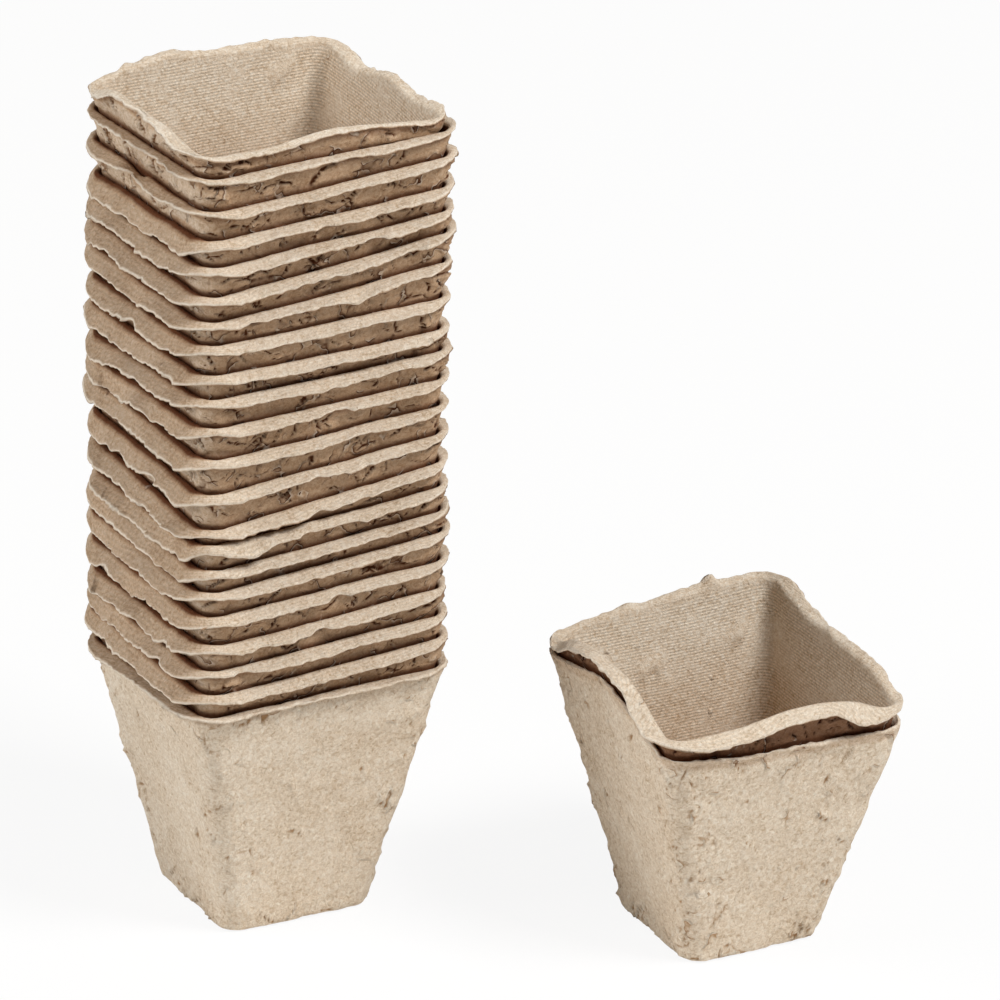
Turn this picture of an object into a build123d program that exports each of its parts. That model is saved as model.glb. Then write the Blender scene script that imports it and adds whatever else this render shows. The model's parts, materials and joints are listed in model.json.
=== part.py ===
# Square peat pots as they are packed: a tall nested stack and a nested pair beside it.
# Each pot is one moulded fibre shell: flat base, tapered walls and an out-turned lip.
# Millimetres. The origin is the centre of the stack's base on the ground, +Z is up,
# and the stack's wide front wall faces -Y.
from build123d import *
import os
from math import atan, cos, degrees, radians, sin

# Driving sizes of one pot
rim_width = 60.0  # across the lip, side to side
lip_overhang = 2.0  # lip beyond the outside of the wall
base_width = 33.2  # outside of the walls, carried down to the ground
pot_height = 55.0  # ground to the top of a level lip
wall = 1.04
floor_thickness = 1.2
base_edge_radius = 3.1  # outside bend from base to wall
floor_edge_radius = 2.1  # inside bend from floor to wall
base_corner_radius = 1.2  # corners of the flat part of the base
wall_corner_radius = 4.2  # outside corners of the wall at the rim
lip_corner_radius = 8.5
lip_bend_radius = 1.5  # middle of the wall where it turns out into the lip
lip_angle = 112.0  # slope of the lip's edge, from upright: past 90 the lip droops
foot_steps = 2
lip_steps = 3

# How the pots nest and stand
nest_clearance = 0.15  # between one wall and the next, square to the wall
stack_count = 22
pair_x = 79.0
pair_y = -54.8
pair_turn = -1.1

# How far each lip sags below level at its four corners: back, left, near, right.
# The first row is the bottom pot of the stack, and a negative sag is a raised corner.
stack_sags = [
    (0.5, 2.0, -1.4, -2.3),
    (-0.9, 0.3, -0.5, -2.7),
    (-0.4, 1.6, 0.1, -2.4),
    (0.4, 3.4, 0.3, -2.3),
    (-0.1, 2.2, -0.4, -2.8),
    (-1.1, 1.6, 0.3, -3.5),
    (-1.0, 1.6, 1.3, -2.4),
    (0.9, 5.0, 1.6, -1.6),
    (-0.9, 3.6, 4.2, -1.2),
    (-0.4, 2.9, 2.0, -1.8),
    (-0.6, 0.7, -0.1, -2.1),
    (0.4, 2.0, -1.2, -2.3),
    (1.1, 3.2, -1.6, -2.6),
    (0.8, 2.0, -1.0, -1.4),
    (0.6, 2.3, -1.7, -2.8),
    (-1.3, 1.1, -0.9, -4.6),
    (-1.7, 1.4, -0.6, -5.5),
    (-0.5, 1.8, -1.3, -4.2),
    (0.2, 2.9, -1.2, -3.7),
    (-0.6, 1.6, -1.6, -4.4),
    (-0.2, 0.7, -3.1, -4.3),
    (1.4, 2.0, -1.7, -3.0),
]
pair_outer_sags = (0.0, -1.5, 1.1, 2.7)
pair_inner_sags = (-1.0, 1.3, 2.3, 5.0)

# How far the middle of each side bows up from the line between its corners: back, left, front, right
straight_sides = (0.0, 0.0, 0.0, 0.0)
stack_top_bows = (1.4, 2.6, 1.2, -0.8)
pair_outer_bows = (0.5, 5.7, 1.1, 0.0)
pair_inner_bows = (1.1, 6.9, 3.4, -2.5)

# Sizes that follow from these
taper_slope = (rim_width / 2 - lip_overhang - base_width / 2) / pot_height
taper = atan(taper_slope)
wall_across = wall / cos(taper)  # wall measured level
nest_pitch = (wall + nest_clearance) / sin(taper)
foot_corner_radius = base_corner_radius + base_edge_radius * cos(taper)


def wall_half(height):
    return base_width / 2 + height * taper_slope


def wall_corner(height):
    return foot_corner_radius + (wall_corner_radius - foot_corner_radius) * height / pot_height


def ring(corners, middles=(None,) * 4):
    # One closed loop: a level arc at each corner and the side that follows it, straight or bowed.
    # A corner is its half width, radius and height, from the back corner to the right one.
    # The middle of a bowed side is its half width and height.
    arcs = []
    for quarter, (half, radius, height) in enumerate(corners):
        spots = [
            Vector(half - radius + radius * cos(radians(a)), half - radius + radius * sin(radians(a)), height)
            for a in (0, 45, 90)
        ]
        arcs.append([spot.rotate(Axis.Z, 90 * quarter) for spot in spots])
    edges = []
    for quarter, (arc, following, middle) in enumerate(zip(arcs, arcs[1:] + arcs[:1], middles)):
        edges.append(Edge.make_three_point_arc(*arc))
        if middle:
            top = Vector(0, *middle).rotate(Axis.Z, 90 * quarter)
            edges.append(Edge.make_three_point_arc(arc[2], top, following[0]))
        else:
            edges.append(Edge.make_line(arc[2], following[0]))
    return Wire(edges)


def foot_rings(level, inset, radius):
    # The bend from a flat bottom at this level up to a wall face this far inside the outer one
    wall_level = level + radius * (1 - sin(taper))
    half_at_wall = wall_half(wall_level) - inset
    rings = []
    for step in range(foot_steps + 1):
        angle = (radians(90) - taper) * step / foot_steps
        in_from_wall = radius * (cos(taper) - sin(angle))
        half = half_at_wall - in_from_wall
        corner = wall_corner(wall_level) - inset - in_from_wall
        rings.append(ring([(half, corner, level + radius * (1 - cos(angle)))] * 4))
    return rings


def lip_section():
    # Points of the lip as outset and rise from where the outside of the wall starts to bend:
    # up under the lip, round its edge and back down into the pot
    out_x, out_z = cos(taper), -sin(taper)
    centre_x = (lip_bend_radius - wall / 2) * out_x
    centre_z = (lip_bend_radius - wall / 2) * out_z
    under = []
    over = []
    for step in range(lip_steps + 1):
        angle = taper + (radians(lip_angle) - taper) * step / lip_steps
        for side, points in ((-wall / 2, under), (wall / 2, over)):
            radius = lip_bend_radius + side
            points.append((centre_x - radius * cos(angle), centre_z + radius * sin(angle)))
    end = radians(lip_angle)
    run = (lip_overhang - under[-1][0]) / sin(end)
    under.append((under[-1][0] + run * sin(end), under[-1][1] + run * cos(end)))
    over.append((lip_overhang, over[-1][1] + (lip_overhang - over[-1][0]) / sin(end) * cos(end)))
    return under + over[::-1]


lip_points = lip_section()
lip_rise = lip_bend_radius + wall / 2 - (lip_bend_radius - wall / 2) * sin(taper)  # up to the lip's crest
lip_corner_gain = (lip_corner_radius - wall_corner_radius) / lip_overhang


def lip_ring(outset, rise, sags, bows):
    gain = lip_corner_gain if outset > 0 else 1.0
    corners = []
    middles = []
    for sag, following, bow in zip(sags, sags[1:] + sags[:1], bows):
        start = pot_height - lip_rise - sag
        corners.append((wall_half(start) + outset, wall_corner(start) + outset * gain, start + rise))
        middle = pot_height - lip_rise - (sag + following) / 2 + bow
        middles.append((wall_half(middle) + outset, middle + rise) if bow else None)
    return ring(corners, middles)


def pot(sags, bows=straight_sides):
    outside = foot_rings(0.0, 0.0, base_edge_radius)
    lip = [lip_ring(outset, rise, sags, bows) for outset, rise in lip_points]
    inside = foot_rings(floor_thickness, wall_across, floor_edge_radius)
    return Solid.make_loft(outside + lip + inside[::-1], ruled=True)


parts = {}
for level in range(stack_count):
    sags = stack_sags[level % len(stack_sags)]
    bows = stack_top_bows if level == stack_count - 1 else straight_sides
    parts[f"stack_pot_{level + 1:02d}"] = Pos(0, 0, level * nest_pitch) * pot(sags, bows)

pair_place = Pos(pair_x, pair_y, 0) * Rot(0, 0, pair_turn)
parts["pair_outer_pot"] = pair_place * pot(pair_outer_sags, pair_outer_bows)
parts["pair_inner_pot"] = pair_place * Pos(0, 0, nest_pitch) * pot(pair_inner_sags, pair_inner_bows)

os.makedirs("parts", exist_ok=True)
for name, solid in parts.items():
    export_step(solid, f"parts/{name}.step")
print(len(parts), "pots, each", round(degrees(taper), 2), "degrees taper, nesting every", round(nest_pitch, 3), "mm")
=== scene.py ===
import bpy
import bmesh
import json
import math
import random
from mathutils import Matrix, Vector, noise


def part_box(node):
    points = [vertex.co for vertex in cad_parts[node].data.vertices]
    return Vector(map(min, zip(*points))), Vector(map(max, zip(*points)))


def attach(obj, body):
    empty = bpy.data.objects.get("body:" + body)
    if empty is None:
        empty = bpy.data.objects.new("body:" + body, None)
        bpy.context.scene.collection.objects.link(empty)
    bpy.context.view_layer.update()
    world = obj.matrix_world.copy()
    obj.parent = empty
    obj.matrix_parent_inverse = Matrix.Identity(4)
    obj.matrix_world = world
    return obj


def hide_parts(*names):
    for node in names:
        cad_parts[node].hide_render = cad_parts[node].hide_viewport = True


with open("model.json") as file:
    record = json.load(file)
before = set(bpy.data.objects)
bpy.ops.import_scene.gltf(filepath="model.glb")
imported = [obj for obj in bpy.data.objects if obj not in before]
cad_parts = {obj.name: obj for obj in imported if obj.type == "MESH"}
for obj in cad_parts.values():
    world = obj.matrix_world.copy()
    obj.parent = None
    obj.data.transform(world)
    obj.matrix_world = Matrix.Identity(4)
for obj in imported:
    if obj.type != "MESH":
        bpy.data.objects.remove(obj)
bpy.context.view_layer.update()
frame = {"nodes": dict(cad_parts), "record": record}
mm = 0.001
print("frame loaded:", len(frame["nodes"]), "pots")


# one pot as it leaves the mould, in millimetres
mould = {
    "height": 55.0,  # ground to the top of a level lip
    "baseWidth": 33.2,  # outside of the walls, carried down to the ground
    "rimWidth": 60.0,
    "overhang": 2.0,
    "wall": 1.04,
    "floor": 1.2,
    "footBend": 3.1,
    "standBend": 0.9,  # on a pot that stands on the ground
    "floorBend": 2.1,
    "footCorner": 1.2,
    "wallCorner": 4.2,
    "lipCorner": 8.5,
    "cornerSteps": 14,
    "sideSteps": 100,
    "flatSteps": 3,
    "footSteps": 4,
    "lipSteps": 9,
    "shownSteps": 60,  # rows up a wall that shows
    "hiddenSteps": 14,  # rows up a wall that sits in the next pot
    "grooveSteps": 20,  # rows up the part that shows above the next pot's lip
    "grooveHeight": 8.0,
}
quarterSteps = mould["cornerSteps"] + mould["sideSteps"]
roundSteps = 4 * quarterSteps
slope = (mould["rimWidth"] / 2 - mould["overhang"] - mould["baseWidth"] / 2) / mould["height"]
taper = math.atan(slope)
wallAcross = mould["wall"] / math.cos(taper)
footCorner = mould["footCorner"] + mould["footBend"] * math.cos(taper)


def wallHalf(height):
    return mould["baseWidth"] / 2 + height * slope


def wallCorner(height):
    return footCorner + (mould["wallCorner"] - footCorner) * height / mould["height"]


# stations round the pot: quarter, how far round its corner, how far along its side
# quarters run back, left, near, right; each is a corner and the side that follows it
def station(step):
    quarter, rest = divmod(step % roundSteps, quarterSteps)
    turn = min(rest / mould["cornerSteps"], 1.0)
    along = max(rest - mould["cornerSteps"], 0) / mould["sideSteps"]
    return quarter, turn, along


def turned(x, y, quarters):
    for _ in range(quarters):
        x, y = -y, x
    return x, y


def outlinePoint(step, half, corner):
    quarter, turn, along = station(step)
    straight = half - corner
    if along > 0:
        return turned(straight * (1 - 2 * along), half, quarter)
    angle = turn * math.pi / 2
    return turned(straight + corner * math.cos(angle), straight + corner * math.sin(angle), quarter)


def outward(step):
    quarter, turn, along = station(step)
    angle = turn * math.pi / 2
    return Vector(turned(math.cos(angle), math.sin(angle), quarter) + (0.0,))


def bendRow(level, inset, radius, part):
    wallLevel = level + radius * (1 - math.sin(taper))
    angle = (math.pi / 2 - taper) * part
    inFromWall = radius * (math.cos(taper) - math.sin(angle))
    half = wallHalf(wallLevel) - inset - inFromWall
    corner = wallCorner(wallLevel) - inset - inFromWall
    return half, corner, level + radius * (1 - math.cos(angle))


bowlTop = bendRow(mould["floor"], wallAcross, mould["floorBend"], 1)[2]


# rows of a pot's section, from the middle of the base up the wall, round the lip and down to the floor
def potRows(wallShows, insideShows):
    insideSteps = mould["shownSteps"] * 2 // 3 if insideShows else mould["hiddenSteps"]
    lipSteps = mould["lipSteps"]
    rows = [("base", k / mould["flatSteps"]) for k in range(mould["flatSteps"])]
    rows += [("foot", k / mould["footSteps"]) for k in range(mould["footSteps"])]
    if wallShows:
        rows += [("wall", k / mould["shownSteps"]) for k in range(mould["shownSteps"])]
    else:
        groove = 1 - mould["grooveHeight"] / mould["height"]
        rows += [("wall", groove * k / mould["hiddenSteps"]) for k in range(mould["hiddenSteps"])]
        grooveSteps = mould["grooveSteps"]
        rows += [("wall", groove + (1 - groove) * k / grooveSteps) for k in range(grooveSteps)]
    rows += [("under", k) for k in range(lipSteps + 1)]
    rows += [("edge", lipSteps)]
    rows += [("over", lipSteps - k) for k in range(lipSteps + 1)]
    rows += [("inside", 1 - (k + 1) / insideSteps) for k in range(insideSteps - 1)]
    rows += [("bowl", 1 - k / mould["footSteps"]) for k in range(mould["footSteps"])]
    rows += [("floor", 1 - k / mould["flatSteps"]) for k in range(mould["flatSteps"] + 1)]
    return rows


def ripple(point, size, seed):
    x, y, z = point
    return noise.noise(Vector((x / size + seed * 3.7, y / size - seed * 5.3, z / size + seed)))


def softStep(low, high, value):
    part = min(max((value - low) / (high - low), 0.0), 1.0)
    return part * part * (3 - 2 * part)


def easeBetween(values, along):
    spot = along * (len(values) - 1)
    k = min(int(spot), len(values) - 2)
    return values[k] + (values[k + 1] - values[k]) * softStep(0, 1, spot - k)


# a smooth curve through equally spaced values
def throughValues(values, along):
    spot = along * (len(values) - 1)
    k = min(int(spot), len(values) - 2)
    t = spot - k
    before, here, there, after = (values[min(max(k + n, 0), len(values) - 1)] for n in (-1, 0, 1, 2))
    bend = (there - before) * t + (2 * before - 5 * here + 4 * there - after) * t * t
    return here + 0.5 * (bend + (3 * here - before - 3 * there + after) * t ** 3)


# where each pot of the set stands
stackNames = sorted(n for n in frame["nodes"] if n.startswith("stack"))
pairNames = ["pair_outer_pot", "pair_inner_pot"]
potBelow = dict(zip(stackNames[1:] + pairNames[1:], stackNames[:-1] + pairNames[:-1]))
pairTurn = -1.1
pairBase = next(m for m in frame["record"]["mounts"] if m["name"] == "pair_base")["pos_m"]


def potSeed(name):
    return 11.0 + 2.3 * (stackNames + pairNames).index(name)


def potLevel(name):
    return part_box(name)[0].z / mm


def potPlace(name):
    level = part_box(name)[0].z
    if name in pairNames:
        turn = Matrix.Rotation(math.radians(pairTurn), 4, "Z")
        return Matrix.Translation((pairBase[0], pairBase[1], level)) @ turn @ Matrix.Scale(mm, 4)
    return Matrix.Translation((0, 0, level)) @ Matrix.Scale(mm, 4)


# the out-turned lip; four values are for the back, left, front and right sides
lip = {
    "length": (3.0, 5.2, 3.4, 2.9),  # along its section, from the wall to the torn edge
    "angle": (98.0, 136.0, 112.0, 100.0),  # slope of its edge from upright: past 90 it droops
    "curl": (14.0, 17.0, 9.0, 16.0),  # how much that slope wanders along the side
    "curlSize": 17.0,
    "flip": (10.0, 62.0, 16.0, 12.0),  # how much the torn edge turns up again
    "flipShare": 0.22,  # share of the length that does
    "tilt": 6.0,  # how much it differs from pot to pot
    "bend": 1.0,  # length that is bent, the rest is a flat flange
    "ragged": (0.9, 1.0, 0.45, 0.8),
    "paleAndHighlight": (0.6, 1.0, 0.25, 0.6),  # how pale the torn edge is: paler torn fibre, plus a painted highlight that is strongest on the left and weakest at the front
    "edge": 0.72,  # thickness at the torn edge
    "cornerReach": 0.7,
    "cornerLift": 8.0,
    "clear": 0.5,  # kept between a lip and the one below
    "waveRise": 0.4, "waveSize": 15.0, "crinkleRise": 0.22, "crinkleSize": 3.6,
    "scallop": 0.5, "scallopSize": 12.0, "tear": 0.5, "tearSize": 4.5, "fray": 0.4, "fraySize": 1.7,
    "notch": 3.5, "notchSize": 8.0, "notchFrom": 0.3,
    "curlGain": 1.6, "flipLeast": 0.7, "edgeVaries": 0.45,
    "least": 1.4,  # shortest length
    "tip": 0.12,  # how far the torn edge bulges, as a share of its thickness
    "raiseStep": 6, "raiseTries": 12,  # degrees that a lip is raised by until it clears the one below
    "print": 0.35,  # share of the screen print on top of the lip
}

# lips that differ from the rest: length and angle for the four sides, share of curl, reach at the corners
oddLips = {
    "stack_pot_01": ((3.0, 4.2, 3.0, 2.8), (88.0, 96.0, 84.0, 88.0), 0.7, 0.7),
    "stack_pot_20": ((3.0, 3.8, 3.1, 2.9), (98.0, 104.0, 108.0, 100.0), 1.0, 0.7),
    "stack_pot_21": ((3.0, 3.4, 2.7, 2.9), (98.0, 88.0, 102.0, 100.0), 1.0, 0.7),
    "stack_pot_22": ((2.4, 3.0, 2.1, 2.4), (76.0, 78.0, 94.0, 80.0), 1.0, 0.7),
    "pair_outer_pot": ((2.6, 2.0, 2.0, 2.4), (58.0, 34.0, 40.0, 52.0), 0.5, 0.8),
    "pair_inner_pot": ((2.0, 3.4, 4.4, 2.6), (60.0, 98.0, 112.0, 70.0), 0.35, 1.0),
}
usualLip = (lip["length"], lip["angle"], 1.0, lip["cornerReach"])

# corners pushed out of square, by quarter: millimetres along each axis at the rim
pushed = {
    "pair_inner_pot": {0: (-3.6, 0.0, 1.2)},
    "stack_pot_22": {3: (-1.8, 0.0, -1.4)},
}
pushReach = 12.0

# corners pushed at the base, in the same way: the inner pot's base goes along
basePushed = {
    "pair_outer_pot": {3: (-2.6, 0.5, 0.0)},
    "pair_inner_pot": {3: (-2.6, 0.5, 0.0)},
}

# how far a rim is off its solid at the four corners
cornerLifts = {
    "pair_outer_pot": (0.0, 0.0, -1.1, -1.8),
    "pair_inner_pot": (0.0, 0.0, -1.4, -0.4),
}

# small tabs of fibre that stand up on a rim: quarter, place along the side, width and rise
tabs = {
    "pair_inner_pot": [(0, 0.25, 4.2, 1.6), (0, 0.7, 5.0, 0.5), (3, 0.6, 4.0, 0.5)],
    "stack_pot_22": [(0, 0.9, 4.0, 0.8), (0, 0.66, 6.0, 0.6), (0, 0.2, 3.0, 0.5), (3, 0.7, 3.5, 0.5)],
}

# how far rims rise between their corners, in millimetres at quarter points of a side, by quarter
rimLifts = {
    "pair_inner_pot": {
        0: (1.2, 1.15, 0.7), 1: (5.15, 6.9, 6.55), 2: (0.9, 3.45, 3.3), 3: (0.8, -0.6, -1.4),
    },
    "pair_outer_pot": {0: (0.4, 0.5, 0.4), 1: (3.0, 5.8, 4.2), 2: (-1.0, -0.3, -0.2)},
    "stack_pot_22": {
        0: (0.95, 1.4, 2.25), 1: (2.9, 2.55, 2.1), 2: (0.1, 1.15, 0.8), 3: (-1.5, -0.8, -2.4),
    },
}

# places where a lip hangs torn: quarter, place along the side, width, extra droop and extra length
tornLips = {
    "stack_pot_08": [(2, 0.06, 11.0, 26.0, 1.3)],
    "stack_pot_16": [(2, 0.62, 8.0, 20.0, 0.9)],
    "stack_pot_20": [(1, 0.45, 12.0, -36.0, 0.4)],
    "stack_pot_12": [(1, 0.55, 14.0, -30.0, 0.3)],
    "stack_pot_05": [(1, 0.4, 12.0, 12.0, 0.6)],
    "pair_inner_pot": [(2, 0.86, 9.0, 18.0, 0.8), (0, 0.26, 3.2, -40.0, 0.4)],
}


# how far the solid's lip sags at each corner
def cornerSags(name):
    toPot = potPlace(name).inverted()
    zone = mould["rimWidth"] / 2 - mould["lipCorner"] + 1.5
    tops = [0.0] * 4
    for vertex in frame["nodes"][name].data.vertices:
        x, y, z = toPot @ vertex.co
        for quarter in range(4):
            if x > zone and y > zone:
                tops[quarter] = max(tops[quarter], z)
            x, y = y, -x
    return [mould["height"] - top for top in tops]


# the lip's section at one station: points under it and over it, as outset and rise
def lipSection(angle, length, edge, flip):
    under, over = [], []
    x = -math.cos(taper) * mould["wall"] / 2
    z = math.sin(taper) * mould["wall"] / 2
    for k in range(mould["lipSteps"] + 1):
        part = k / mould["lipSteps"]
        lean = taper + (angle - taper) * min(1.0, part * length / lip["bend"])
        lean -= flip * max(0.0, part - 1 + lip["flipShare"]) / lip["flipShare"]
        thick = mould["wall"] + (edge - mould["wall"]) * part * part
        normalX, normalZ = -math.cos(lean) * thick / 2, math.sin(lean) * thick / 2
        under.append((x - normalX, z - normalZ))
        over.append((x + normalX, z + normalZ))
        if k < mould["lipSteps"]:
            x += math.sin(lean) * length / mould["lipSteps"]
            z += math.cos(lean) * length / mould["lipSteps"]
    tip = (x + math.sin(lean) * edge * lip["tip"], z + math.cos(lean) * edge * lip["tip"])
    return under, over, tip


def sideValue(values, quarter, turn):
    return easeBetween((values[quarter - 1], values[quarter]), turn)


# a smooth hump of this width, at a distance along a side from its middle
def hump(along, width):
    return math.exp(-4 * (along * mould["rimWidth"] / width) ** 2)


# the lip all round one pot: where it starts, its section and its top, station by station
def rimShape(name, rimBelow):
    seed = potSeed(name)
    draw = random.Random(name)
    tilts = [draw.uniform(-lip["tilt"], lip["tilt"]) for _ in range(4)]
    sags = [sag - lift for sag, lift in zip(cornerSags(name), cornerLifts.get(name, (0.0,) * 4))]
    lifts = rimLifts.get(name, {})
    lengths, angles, curlShare, cornerReach = oddLips.get(name, usualLip)
    rim = []
    for step in range(roundSteps):
        quarter, turn, along = station(step)
        here = outlinePoint(step, wallHalf(mould["height"]), mould["wallCorner"]) + (0.0,)
        sag = sags[quarter] + (sags[(quarter + 1) % 4] - sags[quarter]) * along
        sag -= throughValues((0.0,) + lifts.get(quarter, (0.0, 0.0, 0.0)) + (0.0,), along)
        for tabQuarter, tabAlong, width, rise in tabs.get(name, []):
            if quarter == tabQuarter:
                sag -= rise * hump(along - tabAlong, width)
        sag += lip["waveRise"] * ripple(here, lip["waveSize"], seed)
        ragged = sideValue(lip["ragged"], quarter, turn)
        sag += ragged * lip["crinkleRise"] * ripple(here, lip["crinkleSize"], seed + 1)
        atCorner = math.sin(math.pi * turn) if turn < 1 else 0.0
        length = sideValue(lengths, quarter, turn) * (1 - (1 - cornerReach) * atCorner)
        length += lip["scallop"] * ripple(here, lip["scallopSize"], seed + 2)
        length += ragged * lip["tear"] * ripple(here, lip["tearSize"], seed + 3)
        length += ragged * lip["fray"] * ripple(here, lip["fraySize"], seed + 4)
        length -= lip["notch"] * max(0.0, ripple(here, lip["notchSize"], seed + 5) - lip["notchFrom"])
        angle = sideValue(angles, quarter, turn) + curlShare * sideValue(tilts, quarter, turn)
        curl = curlShare * sideValue(lip["curl"], quarter, turn) * lip["curlGain"]
        angle += curl * ripple(here, lip["curlSize"], seed + 6)
        angle -= lip["cornerLift"] * atCorner
        for tornQuarter, tornAlong, width, droop, extra in tornLips.get(name, []):
            if quarter == tornQuarter:
                share = hump(along - tornAlong, width)
                angle += droop * share
                length += extra * share
        edge = lip["edge"] * (1 + lip["edgeVaries"] * ripple(here, lip["tearSize"], seed + 7))
        length = max(length, lip["least"])
        flip = curlShare * sideValue(lip["flip"], quarter, turn)
        flip *= lip["flipLeast"] + ripple(here, lip["waveSize"], seed + 8)
        floor = rimBelow[step][4] + lip["clear"] if rimBelow else 0.0
        for _ in range(lip["raiseTries"]):
            under, over, tip = lipSection(math.radians(angle), length, edge, math.radians(flip))
            rise = max(z for x, z in over)
            start = mould["height"] - sag - rise
            if start + min(z for x, z in under[-3:]) > floor:
                break
            angle -= lip["raiseStep"]
        rim.append((start, under, over, tip, start + rise))
    return rim


# half width, corner radius and height of one row at one station, and its place along the section
def rowPoint(kind, part, rim, footBend):
    start, under, over, tip, crest = rim
    if kind == "base":
        half, corner, z = bendRow(0, 0, footBend, 0)
        return half * part, corner * part, z, half * part
    if kind == "floor":
        half, corner, z = bendRow(mould["floor"], wallAcross, mould["floorBend"], 0)
        return half * part, corner * part, z, half * part
    if kind == "foot":
        return bendRow(0, 0, footBend, part) + (0,)
    if kind == "bowl":
        half, corner, z = bendRow(mould["floor"], wallAcross, mould["floorBend"], part)
        return half, corner, z, z
    if kind == "wall":
        footTop = bendRow(0, 0, footBend, 1)[2]
        z = footTop + (start - footTop) * part
        return wallHalf(z), wallCorner(z), z, z
    if kind == "inside":
        z = bowlTop + (start - bowlTop) * part
        return wallHalf(z) - wallAcross, wallCorner(z) - wallAcross, z, z
    points = {"under": under, "over": over}.get(kind)
    outset, rise = points[part] if points else tip
    gain = (mould["lipCorner"] - mould["wallCorner"]) / mould["overhang"] if outset > 0 else 1.0
    reach = lip["length"][0] * part / mould["lipSteps"]
    return wallHalf(start) + outset, wallCorner(start) + outset * gain, start + rise, start + reach


# how the fibre dried: millimetres of move and the size of each ripple
drying = {
    "warp": 0.5, "warpSize": 27.0,  # shared by the whole set, so nested walls keep clear of each other
    "warpHeight": 12.0,  # height from which a wall warps fully
    "calm": 0.6,  # share of the lumps on fibre that isn't flaky
    "footRough": 0.6,  # share of the lumps where the foot meets the ground
    "freeFrom": (0.1, 1.2),  # a nested wall comes free between these heights above the lip below
    "lump": 0.36, "lumpSize": 8.5, "clod": 0.2, "clodSize": 3.3, "grain": 0.1, "grainSize": 1.5,
    "crease": 0.32, "creaseSize": 10.0, "creaseWidth": 0.07, "creasePatch": 6.0,
    "sheet": 0.5, "sheetSize": 9.0, "sheetPatch": 7.0, "sheetRamp": 0.3, "sheetCrack": 0.07,
    "smallSheet": 0.6, "sheetGate": (-0.12, 0.1), "sheetFray": 0.06, "sheetFraySize": 1.3,
    "rampCurve": 1.5,  # how a lifted edge curves up
    "crackDepth": 0.6,  # as a share of the lift
    "insideLump": 0.18, "insideClod": 0.08, "insideDent": 0.1,
    "dent": 0.2, "dentSize": 5.5,
    "fuzz": 0.26, "fuzzSize": 1.6,
    "baseLift": 0.6, "baseLiftSize": 4.0,
}


# sheets of fibre that lifted along a broken edge: how far out a point moves,
# and how deep in the crack it is
def sheetLift(point, seed):
    lift = crevice = 0.0
    for size, turn in ((drying["sheetSize"], 0.0), (drying["sheetSize"] * drying["smallSheet"], 31.0)):
        patch = softStep(*drying["sheetGate"], ripple(point, drying["sheetPatch"], seed + turn + 1.7))
        if patch == 0:
            continue
        slant = ripple(point, size, seed + turn)
        slant += drying["sheetFray"] * ripple(point, drying["sheetFraySize"], seed + turn)
        if 0 <= slant < drying["sheetRamp"]:
            lift += drying["sheet"] * patch * (1 - slant / drying["sheetRamp"]) ** drying["rampCurve"]
        elif -drying["sheetCrack"] < slant < 0:
            depth = patch * (1 + slant / drying["sheetCrack"])
            lift -= drying["crackDepth"] * drying["sheet"] * depth
            crevice = max(crevice, depth)
    return lift, crevice


def lumps(point, seed):
    move = drying["lump"] * ripple(point, drying["lumpSize"], seed)
    move += drying["clod"] * ripple(point, drying["clodSize"], seed + 0.3)
    move += drying["grain"] * ripple(point, drying["grainSize"], seed + 0.6)
    patch = softStep(0.0, 0.3, ripple(point, drying["creasePatch"], seed + 0.7))
    if patch > 0:
        line = 1 - abs(ripple(point, drying["creaseSize"], seed + 0.8)) / drying["creaseWidth"]
        move -= drying["crease"] * patch * max(0.0, line)
    return move


# a point's move as the pot dries; a wall that is free may bulge, a nested one only dents inwards
def driedMove(kind, part, point, world, away, free, flaky, insideShows, seed):
    warpX = drying["warp"] * ripple(world, drying["warpSize"], 1)
    warpY = drying["warp"] * ripple(world, drying["warpSize"], 2)
    move = Vector((warpX, warpY, 0)) * min(point.z / drying["warpHeight"], 1.0)
    if kind in ("wall", "foot", "under"):
        if free > 0:
            rough = free
            if kind == "foot":
                rough *= drying["footRough"] + (1 - drying["footRough"]) * part
            move += away * (lumps(point, seed) * rough * (drying["calm"] + flaky))
        if free < 1:
            dent = max(0.0, ripple(point, drying["dentSize"], seed + 1))
            move -= away * (drying["dent"] * dent * (1 - free))
        if kind == "foot" and free > 0:
            ragged = max(0.0, ripple(point, drying["baseLiftSize"], seed + 2))
            move.z += drying["baseLift"] * ((1 + part) / 2) * ragged
    if kind == "inside":
        if insideShows:
            move += away * (drying["insideLump"] * ripple(point, drying["lumpSize"], seed + 3))
            move += away * (drying["insideClod"] * ripple(point, drying["clodSize"], seed + 4))
        else:
            move += away * (drying["insideDent"] * max(0.0, ripple(point, drying["dentSize"], seed + 3)))
    if kind in ("over", "edge", "under"):
        share = drying["fuzz"] * part / mould["lipSteps"]
        move.z += share * ripple(point, drying["fuzzSize"], seed + 5)
        move += away * (share * ripple(point, drying["fuzzSize"], seed + 6))
    return move


# lifted scales of fibre: a gentle ramp that breaks off at a crack; lowest and highest of each size
scales = {
    "onWall": 34,
    "inGroove": 36,
    "length": (1.2, 4.6),  # of the crack, to each side of its middle
    "ramp": (1.5, 4.5),
    "height": (0.25, 0.7),
    "bend": (-0.14, 0.14),
    "crack": 0.7,  # width of the open crack
    "fray": 0.4, "fraySize": 1.4,  # how uneven the broken edge is
    "fromBelow": 0.6, "fromAbove": 0.4, "least": 0.4,  # millimetres kept from the lips below and above
    "reach": 14,  # stations to each side
}
scaleSizes = ("length", "ramp", "height", "bend")


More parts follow.
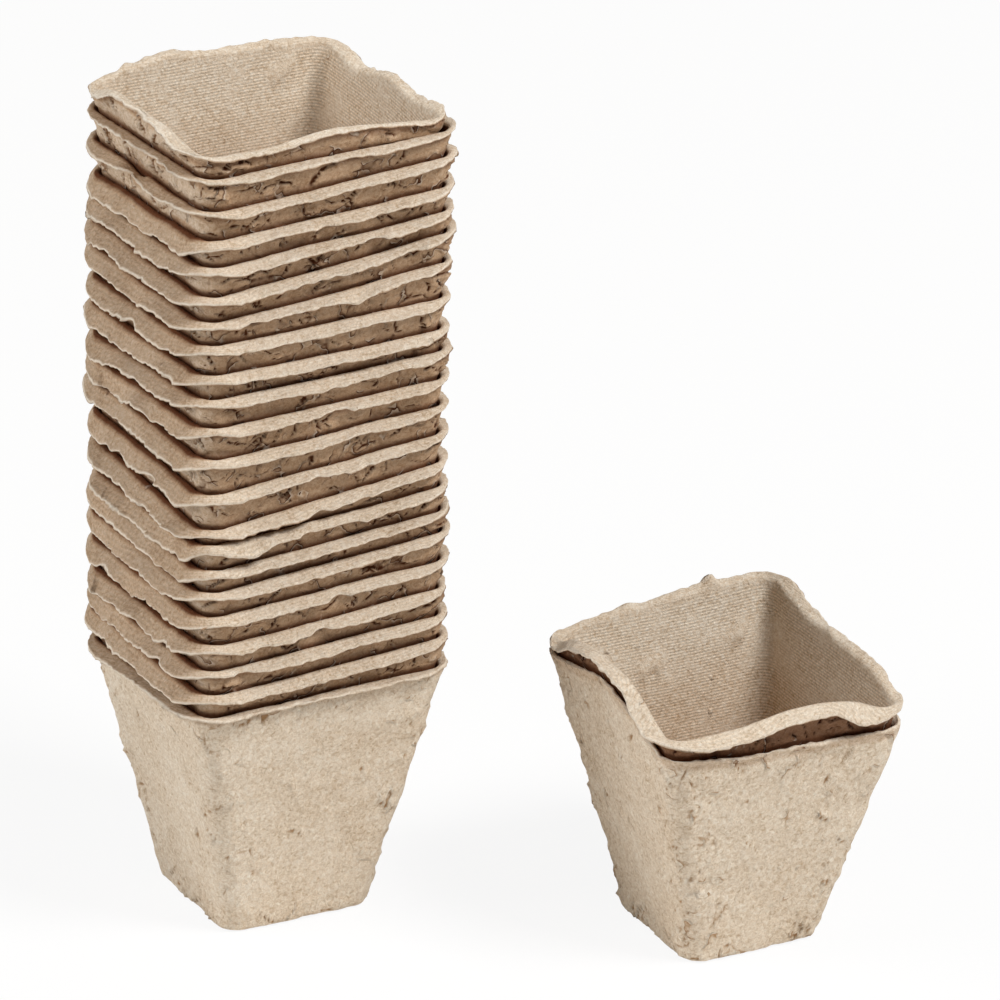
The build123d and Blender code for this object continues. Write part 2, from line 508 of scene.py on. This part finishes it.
# lists one scale for every station that it reaches; the angle turns its broken edge
def placeScale(nearby, step, z, inset, angle, sizes):
    away = outward(step)
    climb = away * math.sin(taper) + Vector((0, 0, math.cos(taper)))
    side = Vector((0, 0, 1)).cross(away)
    spot = Vector(outlinePoint(step, wallHalf(z) - inset, wallCorner(z) - inset) + (z,))
    across = climb * math.cos(angle) + side * math.sin(angle)
    along = side * math.cos(angle) - climb * math.sin(angle)
    for near in range(step - scales["reach"], step + scales["reach"] + 1):
        nearby[near % roundSteps].append((spot, across, along) + sizes)


# the scales of one pot, station by station
def drawScales(name, rim, lowest):
    draw = random.Random(name + " scales")
    nearby = [[] for _ in range(roundSteps)]
    for _ in range(scales["inGroove"] if name in potBelow else scales["onWall"]):
        step = draw.randrange(roundSteps)
        z = draw.uniform(lowest[step] + scales["fromBelow"], rim[step][0] - scales["fromAbove"])
        angle = draw.uniform(0, 2 * math.pi)
        sizes = tuple(draw.uniform(*scales[key]) for key in scaleSizes)
        if z >= lowest[step] + scales["least"]:
            placeScale(nearby, step, z, 0.0, angle, sizes)
    return nearby


# how far the scales lift a point of the wall, and how deep in a crack it is
def scaleLift(point, nearby, seed):
    lift = crevice = 0.0
    for spot, across, along, length, ramp, height, bend in nearby:
        gap = point - spot
        b = gap.dot(along)
        if abs(b) >= length:
            continue
        a = gap.dot(across) + bend * b * b + scales["fray"] * ripple(point, scales["fraySize"], seed)
        if -ramp < a < scales["crack"]:
            fade = 1 - (b / length) ** 2
            if a <= 0:
                lift += height * fade * (1 + a / ramp) ** drying["rampCurve"]
            else:
                depth = 1 - a / scales["crack"]
                lift -= drying["crackDepth"] * height * fade * depth
                crevice = max(crevice, fade * depth)
    return lift, crevice


# places inside where the fibre peeled: quarter, place along the side, height and turn of the broken edge
peeled = {
    "pair_inner_pot": [(0, 0.13, 44.5, 215.0), (0, 0.62, 41.0, 190.0)],
    "stack_pot_22": [(0, 0.12, 47.0, 205.0), (1, 0.04, 48.0, 150.0)],
}
peel = {
    "length": 4.2, "ramp": 5.0, "height": 0.8, "bend": 0.09,
    "crack": 0.4,  # how much shade is painted in its crack
    "bareFrom": 0.25,  # millimetres of lift that leave no screen print
}


def drawPeeled(name):
    nearby = [[] for _ in range(roundSteps)]
    for quarter, along, z, turn in peeled.get(name, []):
        step = quarter * quarterSteps + mould["cornerSteps"] + round(along * mould["sideSteps"])
        sizes = tuple(peel[key] for key in scaleSizes)
        placeScale(nearby, step, z, wallAcross, math.radians(turn), sizes)
    return nearby


# shares of flaky fibre on a wall that shows
flaking = {
    "least": 0.35,
    "cornerShare": 0.6, "corner": (0.02, 0.2),  # from a corner, as shares of the side
    "underLip": 7.0, "aboveFoot": 9.0,  # millimetres
}


# how flaky the outside is: most in the grooves between lips, near corners, under a lip and at the foot
def flakiness(kind, step, z, start, below):
    if kind in ("over", "edge", "inside", "bowl", "floor"):
        return 0.0
    if below or kind != "wall":
        return 1.0
    quarter, turn, along = station(step)
    atCorner = 1 - softStep(*flaking["corner"], min(along, 1 - along)) if along > 0 else 1.0
    atEnds = max(1 - softStep(0, flaking["underLip"], start - z), 1 - softStep(0, flaking["aboveFoot"], z))
    return flaking["least"] + (1 - flaking["least"]) * max(flaking["cornerShare"] * atCorner, atEnds)


# shares of painted shade where lips and the next pot would shade the fibre, and inside the pots; four
# values are for the back, left, front and right sides
paintedShadeShares = {
    "openLip": 0.03,
    "openInside": (0.0, 0.05, 0.05, 0.08),
    "openDepth": 0.2, "openFade": (6.0, 28.0),  # millimetres down from the lip
    "lip": (0.1, 0.34, 0.08, 0.14),
    "lipRoot": (0.0, 0.2, 0.0, 0.0),  # share of the lip that the next lip hides
    "lipFade": 0.3,
    "underLip": (0.75, 0.3, 0.75, 0.75),
    "underOpenLip": 0.2,
    "groove": (0.45, 0.2, 0.45, 0.45),
    "pairGroove": 0.85,
    "grooveStart": 0.5, "grooveFade": 1.6,  # millimetres under and over the crest of the lip below
    "grooveTop": 0.6,
    "grooveTopFade": 1.8,  # millimetres down from the lip above
}


# how much shade is painted on a place: deepest where one lip's inside meets the next pot's wall
def paintedShadeAt(kind, part, step, z, start, crest, nested, holdsPot):
    quarter, turn, along = station(step)
    if kind == "over" and holdsPot:
        root = sideValue(paintedShadeShares["lipRoot"], quarter, turn)
        deep = 1 - softStep(root, root + paintedShadeShares["lipFade"], part / mould["lipSteps"])
        return max(sideValue(paintedShadeShares["lip"], quarter, turn), deep)
    if kind == "over":
        return paintedShadeShares["openLip"]
    if kind in ("inside", "bowl", "floor") and not holdsPot:
        deep = paintedShadeShares["openDepth"] * softStep(*paintedShadeShares["openFade"], start - z)
        return sideValue(paintedShadeShares["openInside"], quarter, turn) + deep
    if kind in ("inside", "bowl", "floor"):
        return 1.0
    if kind == "under":
        return sideValue(paintedShadeShares["underLip"], quarter, turn) if nested else paintedShadeShares["underOpenLip"]
    if kind == "wall" and nested:
        deep = 1 - softStep(crest - paintedShadeShares["grooveStart"], crest + paintedShadeShares["grooveFade"], z)
        high = paintedShadeShares["grooveTop"] * (1 - softStep(0, paintedShadeShares["grooveTopFade"], start - z))
        least = sideValue(paintedShadeShares["groove"], quarter, turn)
        if nested in pairNames:
            least = paintedShadeShares["pairGroove"]
        return least + (1 - least) * max(deep, high)
    return 0.0


def makePot(name, material):
    below = potBelow.get(name)
    wallShows = below is None
    insideShows = name in (stackNames[-1], pairNames[-1])
    holdsPot = not insideShows
    rows = potRows(wallShows, insideShows)
    seed = potSeed(name)
    place = potPlace(name)
    rim = rims[name]
    lower = potLevel(below) - potLevel(name) if below else 0.0
    mesh = bpy.data.meshes.new(name + "_fibre")
    bm = bmesh.new()
    screen = bm.verts.layers.float.new("screenSide")
    torn = bm.verts.layers.float.new("tornEdge")
    crack = bm.verts.layers.float.new("crevice")
    scaly = bm.verts.layers.float.new("flaky")
    # this layer holds the share of painted shade at each point
    paintedShadeLayer = bm.verts.layers.float.new("paintedShade")
    uv = bm.loops.layers.uv.new("sheet")
    bmesh.ops.create_grid(bm, x_segments=roundSteps, y_segments=len(rows) - 1, size=1.0)
    spots = {}
    grid = {}
    edgeRow = rows.index(("edge", mould["lipSteps"]))
    footBend = mould["footBend"] if below else mould["standBend"]
    lowest = [rims[below][step][4] + lower if below else footBend for step in range(roundSteps)]
    nearby = drawScales(name, rim, lowest)
    peeledNear = drawPeeled(name)
    ground = potLevel(name)
    for vertex in bm.verts:
        step = round((vertex.co.x + 1) / 2 * roundSteps)
        row = round((vertex.co.y + 1) / 2 * (len(rows) - 1))
        kind, part = rows[row]
        around = step % roundSteps
        start, crest = rim[around][0], lowest[around]
        half, corner, z, along = rowPoint(kind, part, rim[around], footBend)
        point = Vector(outlinePoint(step, half, corner) + (z,))
        free = 1.0
        flaky = flakiness(kind, step, z, start, below)
        if below and kind in ("wall", "foot"):
            free = softStep(*(crest + above for above in drying["freeFrom"]), z)
        high = z / mould["height"]
        low = max(1 - (z + ground) / mould["height"], 0.0)
        for corners, level, weight in ((pushed, z, high), (basePushed, z + ground, low)):
            for corner, push in corners.get(name, {}).items():
                middle = Vector(turned(1, 1, corner)) * wallHalf(level)
                away = (point.xy - middle).length / pushReach
                point += Vector(push) * (math.exp(-away * away / 2) * weight ** 3)
        world = (place @ point) / mm
        move = driedMove(kind, part, point, world, outward(step), free, flaky, insideShows, seed)
        if kind == "wall" and free > 0:
            lift, crevice = scaleLift(point, nearby[around], seed)
            sheet, split = sheetLift(point, seed)
            move += outward(step) * ((lift + flaky * sheet) * free)
            # painted shade: the crevice layer darkens the fibre in the cracks
            vertex[crack] = max(crevice, flaky * split) * free
        bare = 0.0
        if kind == "inside" and peeledNear[around]:
            lift, crevice = scaleLift(point, peeledNear[around], seed)
            move -= outward(step) * max(lift, 0.0)
            vertex[crack] = peel["crack"] * crevice
            bare = min(1.0, max(lift, 0.0) / peel["bareFrom"])
        vertex.co = point + move
        spots[vertex] = (step, along)
        grid[row, step] = vertex
        if kind in ("inside", "bowl", "floor"):
            vertex[screen] = 1.0 - bare
        elif kind == "over":
            vertex[screen] = lip["print"]
        vertex[scaly] = flaky
        # share of painted shade at this point
        vertex[paintedShadeLayer] = paintedShadeAt(kind, part, step, z, start, crest, below, holdsPot)
        quarter, turn, alongSide = station(step)
        # the torn edge is paler fibre, with a painted highlight that varies by side
        vertex[torn] = sideValue(lip["paleAndHighlight"], quarter, turn) * max(0.0, 1 - abs(row - edgeRow) / 2)
    for face in bm.faces:
        quarter, turn, along = station(min(spots[v][0] for v in face.verts))
        side = quarter if turn >= 0.5 else (quarter + 3) % 4
        for loop in face.loops:
            x, y = turned(loop.vert.co.x, loop.vert.co.y, (4 - side) % 4)
            loop[uv].uv = (-x, spots[loop.vert][1])
    last = len(rows) - 1
    seam = [grid[row, step] for row in range(last + 1) for step in (0, roundSteps)]
    bmesh.ops.remove_doubles(bm, verts=seam, dist=0.001)
    for row in (0, last):
        pole = [grid[row, s] for s in range(roundSteps + 1) if grid[row, s].is_valid]
        bmesh.ops.pointmerge(bm, verts=pole, merge_co=pole[0].co)
    bmesh.ops.recalc_face_normals(bm, faces=bm.faces)
    bmesh.ops.transform(bm, matrix=place, verts=bm.verts)
    for face in bm.faces:
        face.smooth = True
    bm.to_mesh(mesh)
    bm.free()
    mesh.materials.append(material)
    piece = bpy.data.objects.new(name + "_fibre", mesh)
    bpy.context.scene.collection.objects.link(piece)
    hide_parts(name)
    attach(piece, name)


# sRGB hex to linear colour
def srgb(code):
    values = [int(code[k:k + 2], 16) / 255 for k in (0, 2, 4)]
    return [v / 12.92 if v <= 0.04045 else ((v + 0.055) / 1.055) ** 2.4 for v in values] + [1.0]


def addNode(tree, kind, inputs=None, **settings):
    node = tree.nodes.new(kind)
    for key, value in settings.items():
        setattr(node, key, value)
    for key, value in (inputs or {}).items():
        if isinstance(value, bpy.types.NodeSocket):
            tree.links.new(value, node.inputs[key])
        else:
            node.inputs[key].default_value = value
    return node


# dry moulded peat and wood fibre: matt pale tan with a fine grain, with painted shade in its pits, cracks
# and grooves and a painted highlight along lifted edges
# the inside carries the print of the woven wire screen that the fibre was drawn onto
peatFibre = {
    "dark": "b99f81", "middle": "dccab3", "light": "f0e6d6", "edge": "f3eadb",
    # the crack colours are painted shade in the cracks, darker in the grooves
    "bit": "8f6b4a", "wallCrackShade": "c4a98c", "grooveCrackShade": "704a2f",
    # painted shade, from half to deep, for the grooves, under the lips and inside the pots
    "halfShade": "d8c4b2", "deepShade": "7c523a",
    "blotchSize": 12.0, "clumpSize": 0.8, "fibreSize": 0.9, "bitSize": 2.6,
    "sheetSize": 4.4, "sheetRelief": 0.55, "patchSize": 4.5,
    "wirePitch": 0.62,  # from one wire of the screen to the next
    "relief": 0.2, "fibreRelief": 0.16, "screenRelief": 0.06,
    "roughness": 0.95,
}


def makePeatFibre():
    look = peatFibre
    material = bpy.data.materials.new("mouldedPeatFibre")
    material.use_nodes = True
    tree = material.node_tree
    tree.nodes.clear()
    place = addNode(tree, "ShaderNodeTexCoord").outputs["Object"]
    sheet = addNode(tree, "ShaderNodeUVMap", uv_map="sheet").outputs["UV"]
    screenSide = addNode(tree, "ShaderNodeAttribute", attribute_name="screenSide").outputs["Fac"]
    tornEdge = addNode(tree, "ShaderNodeAttribute", attribute_name="tornEdge").outputs["Fac"]
    crevice = addNode(tree, "ShaderNodeAttribute", attribute_name="crevice").outputs["Fac"]
    flaky = addNode(tree, "ShaderNodeAttribute", attribute_name="flaky").outputs["Fac"]
    # share of painted shade, from the mesh
    paintedShade = addNode(tree, "ShaderNodeAttribute", attribute_name="paintedShade").outputs["Fac"]

    # noise at the size of blotches, clumps and single fibres
    grains = {}
    kinds = (("blotch", 3, 0.6, 0.0), ("clump", 5, 0.66, 0.8), ("fibre", 3, 0.6, 3.0))
    for key, detail, rough, twist in kinds:
        grains[key] = addNode(tree, "ShaderNodeTexNoise", {
            "Vector": place, "Scale": 1 / (look[key + "Size"] * mm), "Detail": detail,
            "Roughness": rough, "Distortion": twist,
        }).outputs["Fac"]

    # colour: clumps over blotches, lighter along torn edges, partly paler torn fibre and partly a painted
    # highlight
    clumpShare = addNode(tree, "ShaderNodeMath", {
        0: grains["clump"], 1: 0.8,
    }, operation="MULTIPLY").outputs[0]
    mottle = addNode(tree, "ShaderNodeMath", {
        0: grains["blotch"], 1: 0.2, 2: clumpShare,
    }, operation="MULTIPLY_ADD")
    tones = addNode(tree, "ShaderNodeValToRGB", {"Fac": mottle.outputs[0]})
    ramp = tones.color_ramp
    ramp.elements[0].position = 0.32
    ramp.elements[0].color = srgb(look["dark"])
    ramp.elements[1].position = 0.68
    ramp.elements[1].color = srgb(look["light"])
    ramp.elements.new(0.48).color = srgb(look["middle"])
    fibreShade = addNode(tree, "ShaderNodeMapRange", {
        "Value": grains["fibre"], "From Min": 0.3, "From Max": 0.7, "To Min": 0.86, "To Max": 1.08,
    }).outputs[0]
    colour = addNode(tree, "ShaderNodeMixRGB", {
        "Fac": 1.0, "Color1": tones.outputs["Color"], "Color2": fibreShade,
    }, blend_type="MULTIPLY").outputs["Color"]
    edgeShare = addNode(tree, "ShaderNodeMath", {0: tornEdge, 1: 0.6}, operation="MULTIPLY").outputs[0]
    colour = addNode(tree, "ShaderNodeMixRGB", {
        "Fac": edgeShare, "Color1": colour, "Color2": srgb(look["edge"]),
    }).outputs["Color"]

    # painted shade: darker and browner in the grooves, under the lips and inside the pots
    shade = addNode(tree, "ShaderNodeValToRGB", {"Fac": paintedShade})
    shade.color_ramp.elements[0].color = (1, 1, 1, 1)
    shade.color_ramp.elements[1].color = srgb(look["deepShade"])
    shade.color_ramp.elements.new(0.45).color = srgb(look["halfShade"])
    colour = addNode(tree, "ShaderNodeMixRGB", {
        "Fac": 1.0, "Color1": colour, "Color2": shade.outputs["Color"],
    }, blend_type="MULTIPLY").outputs["Color"]

    # woven screen print: rows of wire, and knuckles that alternate like a chessboard
    across = addNode(tree, "ShaderNodeSeparateXYZ", {"Vector": sheet})
    halfTurn = math.pi / look["wirePitch"]
    waves = {}
    for key, axis, turns in (("rows", "Y", 2), ("overX", "X", 1), ("overY", "Y", 1)):
        angle = addNode(tree, "ShaderNodeMath", {
            0: across.outputs[axis], 1: halfTurn * turns,
        }, operation="MULTIPLY")
        waves[key] = addNode(tree, "ShaderNodeMath", {
            0: angle.outputs[0],
        }, operation="COSINE").outputs[0]
    knuckles = addNode(tree, "ShaderNodeMath", {
        0: waves["overX"], 1: waves["overY"],
    }, operation="MULTIPLY").outputs[0]
    knuckles = addNode(tree, "ShaderNodeMath", {
        0: knuckles, 1: 0.16, 2: 0.5,
    }, operation="MULTIPLY_ADD").outputs[0]
    weave = addNode(tree, "ShaderNodeMath", {
        0: waves["rows"], 1: 0.34, 2: knuckles,
    }, operation="MULTIPLY_ADD").outputs[0]
    worn = addNode(tree, "ShaderNodeMapRange", {
        "Value": grains["blotch"], "From Min": 0.66, "From Max": 0.54, "To Min": 0.15,
    }).outputs[0]
    printed = addNode(tree, "ShaderNodeMath", {0: screenSide, 1: worn}, operation="MULTIPLY").outputs[0]
    weaveShade = addNode(tree, "ShaderNodeMapRange", {
        "Value": weave, "To Min": 0.74, "To Max": 1.24,
    }).outputs[0]
    colour = addNode(tree, "ShaderNodeMixRGB", {
        "Fac": printed, "Color1": colour, "Color2": weaveShade,
    }, blend_type="MULTIPLY").outputs["Color"]

    # stray dark bits of bark
    cells = addNode(tree, "ShaderNodeTexVoronoi", {
        "Vector": place, "Scale": 1 / (look["bitSize"] * mm),
    })
    near = addNode(tree, "ShaderNodeMapRange", {
        "Value": cells.outputs["Distance"], "From Min": 0.1, "From Max": 0.05,
    }).outputs[0]
    chosen = addNode(tree, "ShaderNodeSeparateColor", {"Color": cells.outputs["Color"]}).outputs["Red"]
    rare = addNode(tree, "ShaderNodeMath", {0: chosen, 1: 0.75}, operation="GREATER_THAN").outputs[0]
    bits = addNode(tree, "ShaderNodeMath", {0: near, 1: rare}, operation="MULTIPLY").outputs[0]
    bitShare = addNode(tree, "ShaderNodeMath", {0: bits, 1: 0.5}, operation="MULTIPLY").outputs[0]
    colour = addNode(tree, "ShaderNodeMixRGB", {
        "Fac": bitShare, "Color1": colour, "Color2": srgb(look["bit"]),
    }).outputs["Color"]

    # small sheets of fibre that lifted along a broken edge, in patches
    sheets = addNode(tree, "ShaderNodeTexNoise", {
        "Vector": place, "Scale": 1 / (look["sheetSize"] * mm), "Detail": 2, "Roughness": 0.4,
    }).outputs["Fac"]
    patches = addNode(tree, "ShaderNodeTexNoise", {
        "Vector": place, "Scale": 1 / (look["patchSize"] * mm), "Detail": 1,
    }).outputs["Fac"]
    loose = addNode(tree, "ShaderNodeMath", {
        0: flaky, 1: 0.2, 2: patches,
    }, operation="MULTIPLY_ADD").outputs[0]
    patch = addNode(tree, "ShaderNodeMapRange", {
        "Value": loose, "From Min": 0.72, "From Max": 0.8,
    }).outputs[0]
    lifted = addNode(tree, "ShaderNodeMath", {0: sheets, 1: 0.5}, operation="GREATER_THAN").outputs[0]
    ramp = addNode(tree, "ShaderNodeMapRange", {
        "Value": sheets, "From Min": 0.6, "From Max": 0.5,
    }).outputs[0]
    sheetRise = addNode(tree, "ShaderNodeMath", {0: lifted, 1: ramp}, operation="MULTIPLY").outputs[0]
    sheetRise = addNode(tree, "ShaderNodeMath", {
        0: sheetRise, 1: patch,
    }, operation="MULTIPLY").outputs[0]
    # painted shadow: a dark line under the broken edge of each lifted sheet
    line = addNode(tree, "ShaderNodeMapRange", {
        "Value": sheets, "From Min": 0.43, "From Max": 0.498,
    }).outputs[0]
    crackShade = addNode(tree, "ShaderNodeMath", {
        0: line, 1: lifted,
    }, operation="SUBTRACT", use_clamp=True).outputs[0]
    crackShade = addNode(tree, "ShaderNodeMath", {0: crackShade, 1: patch}, operation="MULTIPLY").outputs[0]
    # painted highlight: a lighter rim along the lifted edge of each sheet
    brinkHighlight = addNode(tree, "ShaderNodeMapRange", {
        "Value": sheets, "From Min": 0.54, "From Max": 0.5,
    }).outputs[0]
    brinkHighlight = addNode(tree, "ShaderNodeMath", {0: brinkHighlight, 1: lifted}, operation="MULTIPLY").outputs[0]
    brinkHighlight = addNode(tree, "ShaderNodeMath", {0: brinkHighlight, 1: patch}, operation="MULTIPLY").outputs[0]
    brinkHighlightShare = addNode(tree, "ShaderNodeMath", {0: brinkHighlight, 1: 0.45}, operation="MULTIPLY").outputs[0]
    colour = addNode(tree, "ShaderNodeMixRGB", {
        "Fac": brinkHighlightShare, "Color1": colour, "Color2": srgb(look["light"]),
    }).outputs["Color"]
    # painted shade also in the cracks that the mesh opens
    depth = addNode(tree, "ShaderNodeMapRange", {
        "Value": crevice, "From Min": 0.2, "From Max": 0.7,
    }).outputs[0]
    crackShade = addNode(tree, "ShaderNodeMath", {0: crackShade, 1: depth}, operation="MAXIMUM").outputs[0]
    # cracks take a darker painted shade where more shade is painted
    inGroove = addNode(tree, "ShaderNodeMapRange", {"Value": paintedShade, "From Max": 0.4}).outputs[0]
    crackShadeColour = addNode(tree, "ShaderNodeMixRGB", {
        "Fac": inGroove, "Color1": srgb(look["wallCrackShade"]), "Color2": srgb(look["grooveCrackShade"]),
    }).outputs["Color"]
    colour = addNode(tree, "ShaderNodeMixRGB", {
        "Fac": crackShade, "Color1": colour, "Color2": crackShadeColour,
    }, blend_type="MULTIPLY").outputs["Color"]

    # relief, in millimetres
    height = addNode(tree, "ShaderNodeMath", {
        0: grains["clump"], 1: look["relief"],
    }, operation="MULTIPLY").outputs[0]
    height = addNode(tree, "ShaderNodeMath", {
        0: grains["fibre"], 1: look["fibreRelief"], 2: height,
    }, operation="MULTIPLY_ADD").outputs[0]
    height = addNode(tree, "ShaderNodeMath", {
        0: sheetRise, 1: look["sheetRelief"], 2: height,
    }, operation="MULTIPLY_ADD").outputs[0]
    printRise = addNode(tree, "ShaderNodeMath", {0: weave, 1: printed}, operation="MULTIPLY").outputs[0]
    height = addNode(tree, "ShaderNodeMath", {
        0: printRise, 1: look["screenRelief"], 2: height,
    }, operation="MULTIPLY_ADD").outputs[0]
    bump = addNode(tree, "ShaderNodeBump", {"Height": height, "Distance": mm, "Strength": 1.0})
    shader = addNode(tree, "ShaderNodeBsdfPrincipled", {
        "Base Color": colour, "Roughness": look["roughness"], "Specular IOR Level": 0.15,
        "Normal": bump.outputs["Normal"],
    })
    addNode(tree, "ShaderNodeOutputMaterial", {"Surface": shader.outputs["BSDF"]})
    return material


# camera at the photograph's viewing angle
shot = {
    "azimuth": -28.08, "elevation": 24.56, "roll": 0.79, "distance": 2.37,
    "aimAcross": 0.0481, "aimUp": 0.0893, "pixelsPerMetre": 4880.0, "frame": 1000, "sensor": 36.0,
    "clipEnd": 20.0,
}


def makeCamera():
    a, e, r = (math.radians(shot[k]) for k in ("azimuth", "elevation", "roll"))
    back = Vector((math.sin(a) * math.cos(e), -math.cos(a) * math.cos(e), math.sin(e)))
    right = Vector((math.cos(a), math.sin(a), 0))
    up = back.cross(right)
    aim = right * shot["aimAcross"] + Vector((0, 0, shot["aimUp"]))
    right, up = right * math.cos(r) + up * math.sin(r), up * math.cos(r) - right * math.sin(r)
    data = bpy.data.cameras.new("camera")
    data.sensor_width = shot["sensor"]
    data.lens = shot["pixelsPerMetre"] * shot["distance"] / shot["frame"] * shot["sensor"]
    data.clip_end = shot["clipEnd"]
    camera = bpy.data.objects.new("camera", data)
    turn = Matrix((right, up, back)).transposed().to_4x4()
    camera.matrix_world = Matrix.Translation(aim + back * shot["distance"]) @ turn
    bpy.context.scene.collection.objects.link(camera)
    bpy.context.scene.camera = camera


# soft studio: a key light from the front right, a low fill from the left, a white floor and a dim surround
studio = {
    "keyPower": 30.0, "keySize": 0.6, "keyPlace": (0.6, -1.0, 1.5),
    "fillPower": 16.0, "fillSize": 0.8, "fillPlace": (-1.45, 0.35, 0.95),
    "surround": 0.15, "floor": "f4f2ef", "floorSize": 6.0, "floorShadow": 0.1,
    "floorDrop": 0.0002,  # just under the pots' bases
    "aim": (0.04, -0.03, 0.08),
}


def addLamp(name, power, size, place):
    data = bpy.data.lights.new(name, "AREA")
    data.energy = power
    data.size = size
    lamp = bpy.data.objects.new(name, data)
    aim = Vector(studio["aim"]) - Vector(place)
    lamp.matrix_world = Matrix.Translation(place) @ aim.to_track_quat("-Z", "Y").to_matrix().to_4x4()
    bpy.context.scene.collection.objects.link(lamp)


def seenDirectly(tree):
    path = addNode(tree, "ShaderNodeLightPath")
    seen = path.outputs["Is Camera Ray"]
    for ray in ("Is Glossy Ray", "Is Transmission Ray"):
        seen = addNode(tree, "ShaderNodeMath", {
            0: seen, 1: path.outputs[ray],
        }, operation="MAXIMUM").outputs[0]
    return seen


def makeStudio():
    addLamp("key", studio["keyPower"], studio["keySize"], studio["keyPlace"])
    addLamp("fill", studio["fillPower"], studio["fillSize"], studio["fillPlace"])
    world = bpy.data.worlds.new("surround")
    bpy.context.scene.world = world
    world.use_nodes = True
    tree = world.node_tree
    tree.nodes.clear()
    lit = addNode(tree, "ShaderNodeBackground", {"Color": (1, 1, 1, 1), "Strength": studio["surround"]})
    white = addNode(tree, "ShaderNodeBackground", {"Color": (1, 1, 1, 1), "Strength": 1.0})
    both = addNode(tree, "ShaderNodeMixShader", {
        0: seenDirectly(tree), 1: lit.outputs[0], 2: white.outputs[0],
    })
    addNode(tree, "ShaderNodeOutputWorld", {"Surface": both.outputs[0]})

    mesh = bpy.data.meshes.new("floor")
    bm = bmesh.new()
    bmesh.ops.create_grid(bm, x_segments=4, y_segments=4, size=studio["floorSize"])
    bmesh.ops.translate(bm, verts=bm.verts, vec=(0, 0, -studio["floorDrop"]))
    bm.to_mesh(mesh)
    bm.free()
    floor = bpy.data.objects.new("floor", mesh)
    bpy.context.scene.collection.objects.link(floor)
    paper = bpy.data.materials.new("mattWhitePaper")
    paper.use_nodes = True
    tree = paper.node_tree
    tree.nodes.clear()
    matt = addNode(tree, "ShaderNodeBsdfDiffuse", {"Color": srgb(studio["floor"])})
    glow = addNode(tree, "ShaderNodeEmission", {"Color": (1, 1, 1, 1), "Strength": 1.0})
    share = addNode(tree, "ShaderNodeMath", {
        0: seenDirectly(tree), 1: 1 - studio["floorShadow"],
    }, operation="MULTIPLY").outputs[0]
    both = addNode(tree, "ShaderNodeMixShader", {0: share, 1: matt.outputs[0], 2: glow.outputs[0]})
    addNode(tree, "ShaderNodeOutputMaterial", {"Surface": both.outputs[0]})
    mesh.materials.append(paper)


makeCamera()
makeStudio()
print("camera and studio set")

rims = {}
for potName in stackNames + pairNames:
    lowerRim = rims.get(potBelow.get(potName))
    if lowerRim:
        drop = potLevel(potBelow[potName]) - potLevel(potName)
        lowerRim = [entry[:4] + (entry[4] + drop,) for entry in lowerRim]
    rims[potName] = rimShape(potName, lowerRim)
print("rims shaped:", len(rims))

peat = makePeatFibre()
for potName in stackNames + pairNames:
    makePot(potName, peat)
print("pots made:", len(stackNames + pairNames))

bpy.context.scene.view_settings.view_transform = "Standard"
